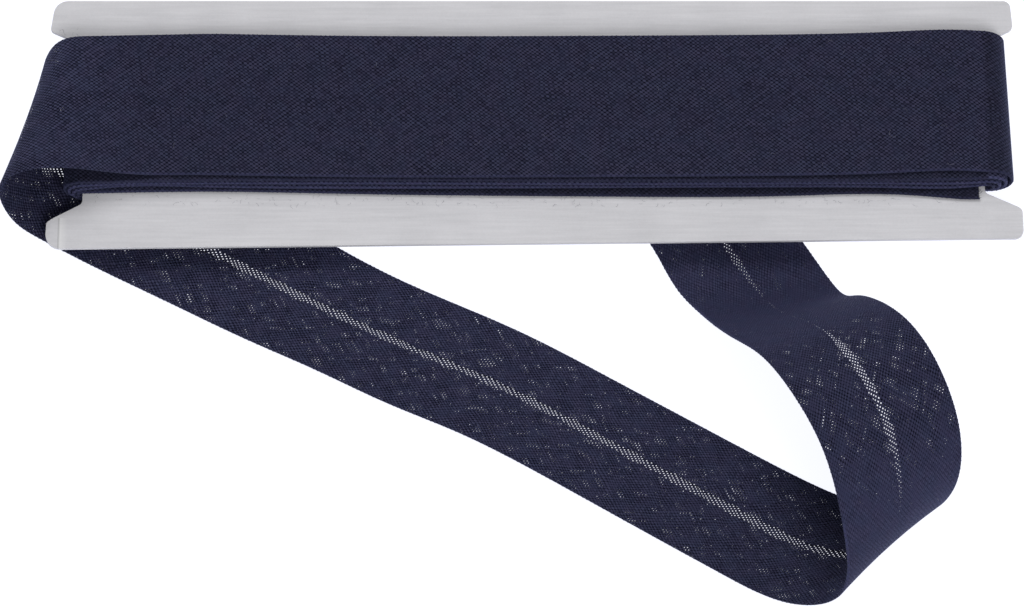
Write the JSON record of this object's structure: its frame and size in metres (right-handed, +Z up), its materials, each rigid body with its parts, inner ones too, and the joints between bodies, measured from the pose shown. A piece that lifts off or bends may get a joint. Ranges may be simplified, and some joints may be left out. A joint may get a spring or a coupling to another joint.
{
  "type": "card of bias tape",
  "caption": "Folded cotton bias tape wound lengthwise round a flat notched card, with a loose end that loops under the card and turns over.",
  "frame": {"origin": "bottom centre of the whole object's box, on the surface that it lies on", "axes": "+X along the card's length, +Y across the card towards its plain long edge and away from the loose end, +Z up from the surface"},
  "size_m": [0.1385, 0.0876, 0.0237],
  "materials": {
    "cardboard": "matt uncoated grey-white board with faint grain",
    "navy_cotton": "matt plain-woven cotton cut on the bias, slightly see-through in a single thickness"
  },
  "bodies": {
    "root": {"card": "cardboard", "wound_tape": "navy_cotton", "loose_tape": "navy_cotton"}
  },
  "joints": []
}
